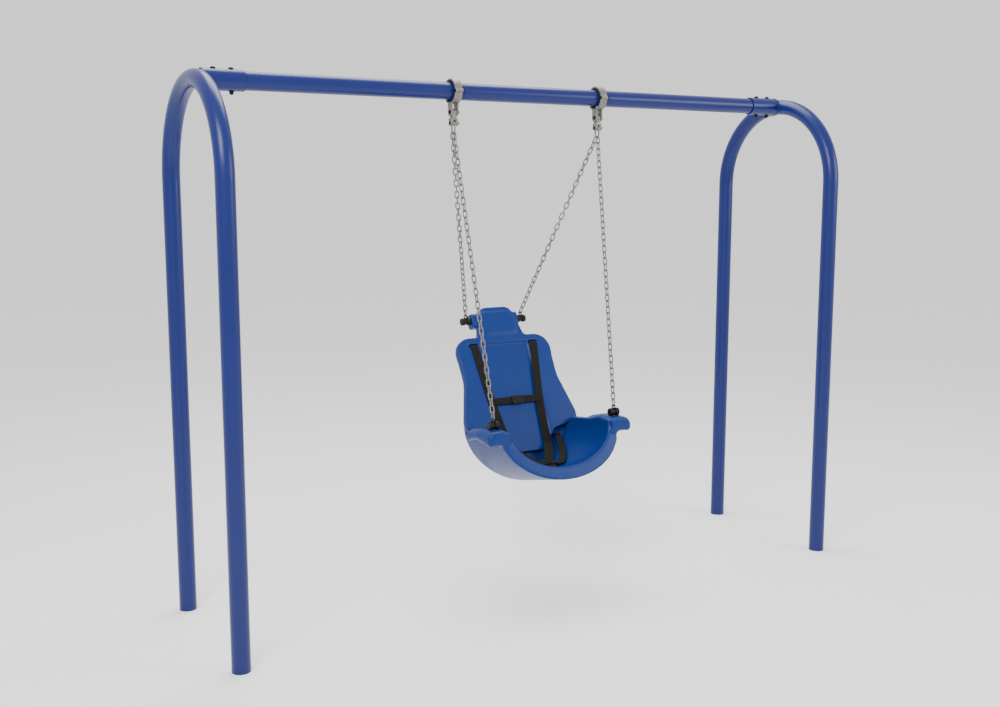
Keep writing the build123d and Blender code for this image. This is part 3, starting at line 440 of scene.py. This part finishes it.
ACROSS = 10
STEP = 6.0 * MM
CROWN = 0.9 * MM
WEB_THICK = 1.9 * MM
WEB_EDGE = 0.5 * MM


def smooth_route(stations):
    """Close points on a curve through the stations, each with the direction of the width there."""
    points = [station[0] for station in stations]
    wides = [Vector(station[1]) for station in stations]
    spans = [(b - a).length for a, b in zip(points, points[1:])]
    route = []
    for index, span in enumerate(spans):
        before = points[index - 1] if index else points[0] * 2 - points[1]
        after = points[index + 2] if index + 2 < len(points) else points[-1] * 2 - points[-2]
        start, end = points[index], points[index + 1]
        last = spans[index - 1] if index else span
        following = spans[index + 1] if index + 1 < len(spans) else span
        pull_in = (end - before) * (span / (span + last))
        pull_out = (after - start) * (span / (span + following))
        steps = max(2, round(span / STEP))
        for step in range(steps + (index == len(spans) - 1)):
            t = step / steps
            point = (start * (2 * t**3 - 3 * t**2 + 1) + pull_in * (t**3 - 2 * t**2 + t)
                     + end * (3 * t**2 - 2 * t**3) + pull_out * (t**3 - t**2))
            route.append((point, wides[index].lerp(wides[index + 1], t)))
    return route


def woven(name, node, body, stations, width):
    """Webbing laid smoothly through stations of (point, direction of its width)."""
    route = smooth_route(stations)
    rows = len(route) - 1
    travelled = [0.0]
    for (a, wide_a), (b, wide_b) in zip(route, route[1:]):
        travelled.append(travelled[-1] + (b - a).length)
    bm = bmesh.new()
    cloth = bm.loops.layers.uv.new("cloth")
    bmesh.ops.create_grid(bm, x_segments=ACROSS, y_segments=rows, size=0.5)
    place = {}
    for vert in bm.verts:
        row = round((vert.co.y + 0.5) * rows)
        side = vert.co.x
        here, wide = route[row]
        run = (route[min(row + 1, rows)][0] - route[max(row - 1, 0)][0]).normalized()
        level = (wide - run * wide.dot(run)).normalized()
        out = run.cross(level)
        lift = CROWN * (1 - (2 * side) ** 2) * math.sin(math.pi * row / rows) ** 0.5
        place[vert] = (side * width * MM, travelled[row])
        vert.co = here + level * (side * width * MM) + out * lift * (0.5 if out.y < 0 else -0.5)
    for face in bm.faces:
        for loop in face.loops:
            loop[cloth].uv = place[loop.vert]
    made = piece(name, bm, "webbing", body, [node], cloth_finish)
    thick = made.modifiers.new("thickness", "SOLIDIFY")
    thick.thickness = WEB_THICK
    thick.offset = 0.0
    soft = made.modifiers.new("edges", "BEVEL")
    soft.width = WEB_EDGE
    soft.segments = 2
    soft.limit_method = "ANGLE"
    return made


cloth_finish = webbing_weave()

# places and widths of the straps, in millimetres
LEVEL = (1, 0, 0)
UP_BACK = tuple(BACK_UP)
BACK_THICK, REAR = 40, 80.5
SHOULDER_WIDTH, HIP_WIDTH, CROTCH_WIDTH, CHEST_WIDTH = 50, 40, 38, 40
SLOT_X, SLOT_UP = 195, 8
MID_X = {"left": 172, "right": 139}
FOOT_X = {"left": 138, "right": 116}
MID_UP, FOOT_UP = -338, -590
HIP_X, HIP_UP = 208, -552
HUB_Y, HUB_Z = -226, 707
HUB_BACK, HUB_FRONT, HUB_SIDE = HUB_Y + 29, HUB_Y - 29, 53
HUB_SLOT_X = 26.5
POCKET = 9
CROTCH_Y, CROTCH_FOOT_Z = -294, 647
CHEST_DEPTH, CHEST_BOW = -5, (0, 0.6, 0)
CHEST = {"left": ("swing", (-180, -110, -35.5)), "right": ("chest_tongue", (15.5, 80, 147))}

for side, sign in SIDES.items():
    mid_x, foot_x = MID_X[side], FOOT_X[side]
    woven(f"shoulder_webbing_{side}", f"shoulder_strap_{side}", "swing", [
        (on_back(sign * SLOT_X, SLOT_UP + 2, BACK_THICK), LEVEL),
        (on_back(sign * SLOT_X, SLOT_UP + 2, 6), LEVEL),
        (on_back(sign * SLOT_X, SLOT_UP - 1, -2.0), LEVEL),
        (on_back(sign * (SLOT_X - 2), SLOT_UP - 22, -3.0), LEVEL),
        (on_back(sign * mid_x, MID_UP, -2.0), LEVEL),
        (on_back(sign * foot_x, FOOT_UP, -2.0), LEVEL),
        (on_back(sign * (foot_x - 4), FOOT_UP - 22, -9), LEVEL),
        (mm(sign * (foot_x + 2 * HUB_SLOT_X) / 3, HUB_BACK + 48, HUB_Z + 14), LEVEL),
        (mm(sign * HUB_SLOT_X, HUB_BACK + 26, HUB_Z), LEVEL),
        (mm(sign * HUB_SLOT_X, HUB_BACK + 4, HUB_Z), LEVEL),
        (mm(sign * HUB_SLOT_X, HUB_BACK - POCKET, HUB_Z), LEVEL),
    ], SHOULDER_WIDTH)
    woven(f"hip_webbing_{side}", f"hip_strap_{side}", "swing", [
        (on_back(sign * HIP_X, HIP_UP, REAR), LEVEL),
        (on_back(sign * HIP_X, HIP_UP, BACK_THICK - 8), LEVEL),
        (on_back(sign * (HIP_X - 2), HIP_UP - 12, BACK_THICK - 24), LEVEL),
        (mm(sign * 180, -84, HUB_Z + 58), (1, -0.35 * sign, -0.2 * sign)),
        (mm(sign * 130, -170, HUB_Z + 20), (1, -1.3 * sign, -0.2 * sign)),
        (mm(sign * (HUB_SIDE + 28), HUB_Y, HUB_Z + 1), (0, -sign, 0)),
        (mm(sign * (HUB_SIDE + 4), HUB_Y, HUB_Z), (0, -sign, 0)),
        (mm(sign * (HUB_SIDE - POCKET), HUB_Y, HUB_Z), (0, -sign, 0)),
    ], HIP_WIDTH)

woven("crotch_webbing", "crotch_strap", "swing", [
    (mm(0, CROTCH_Y, CROTCH_FOOT_Z), LEVEL),
    (mm(0, CROTCH_Y, HUB_Z - 14), LEVEL),
    (mm(0, CROTCH_Y + 5, HUB_Z - 4), LEVEL),
    (mm(0, HUB_FRONT - 24, HUB_Z), LEVEL),
    (mm(0, HUB_FRONT - 4, HUB_Z), LEVEL),
    (mm(0, HUB_FRONT + POCKET, HUB_Z), LEVEL),
], CROTCH_WIDTH)

for side, (body, crossings) in CHEST.items():
    woven(f"chest_webbing_{side}", f"chest_strap_{side}", body, [
        (on_back(x, MID_UP, CHEST_DEPTH - bow), UP_BACK) for x, bow in zip(crossings, CHEST_BOW)
    ], CHEST_WIDTH)

# ---------------------------------------------------------------- studio
SKY = 1.15
FLOOR_GLOW = 0.22
FLOOR_HALF = 40.0
WHITE = (1.0, 1.0, 1.0, 1.0)

floor_mesh = bpy.data.meshes.new("studio_floor")
floor_bm = bmesh.new()
bmesh.ops.create_grid(floor_bm, x_segments=1, y_segments=1, size=FLOOR_HALF)
floor_bm.to_mesh(floor_mesh)
floor_bm.free()
floor = bpy.data.objects.new("studio_floor", floor_mesh)
bpy.context.scene.collection.objects.link(floor)
pale = Finish("pale_studio_floor")
cloud = pale.noise(0.6, 2.0)
floor_mesh.materials.append(pale.apply(
    Base_Color=pale.mix(cloud, (0.80, 0.80, 0.80), (0.83, 0.83, 0.83)),
    Roughness=0.7 + cloud * 0.1, Emission_Color=WHITE, Emission_Strength=FLOOR_GLOW))

world = bpy.data.worlds.new("studio")
bpy.context.scene.world = world
world.use_nodes = True
background = world.node_tree.nodes["Background"]
background.inputs["Color"].default_value = WHITE
background.inputs["Strength"].default_value = SKY


def softbox(name, place, aim, size, power):
    """Rectangular lamp at a place, turned to face its aim."""
    light = bpy.data.lights.new(name, "AREA")
    light.shape = "RECTANGLE"
    light.size, light.size_y = size
    light.energy = power
    lamp = bpy.data.objects.new(name, light)
    bpy.context.scene.collection.objects.link(lamp)
    lamp.location = place
    lamp.rotation_euler = (Vector(aim) - Vector(place)).to_track_quat("-Z", "Y").to_euler()


softbox("key_softbox", place=(-4.5, -4.0, 5.5), aim=(0, 0, 1.4), size=(3.0, 3.0), power=420)
softbox("fill_softbox", place=(5.0, -4.5, 3.5), aim=(0, 0, 1.4), size=(3.5, 2.5), power=160)
softbox("top_softbox", place=(0.5, 1.5, 6.0), aim=(0, 0, 1.5), size=(4.0, 3.0), power=260)

VIEW_PLACE = (-3.2599, -5.3455, 2.1699)
VIEW_TILT, VIEW_TURN = math.radians(81.968), math.radians(-30)
camera = bpy.data.cameras.new("camera")
camera.sensor_width = 36.0
camera.lens = 40.977
view = bpy.data.objects.new("camera", camera)
bpy.context.scene.collection.objects.link(view)
view.location = VIEW_PLACE
view.rotation_euler = (VIEW_TILT, 0, VIEW_TURN)
bpy.context.scene.camera = view
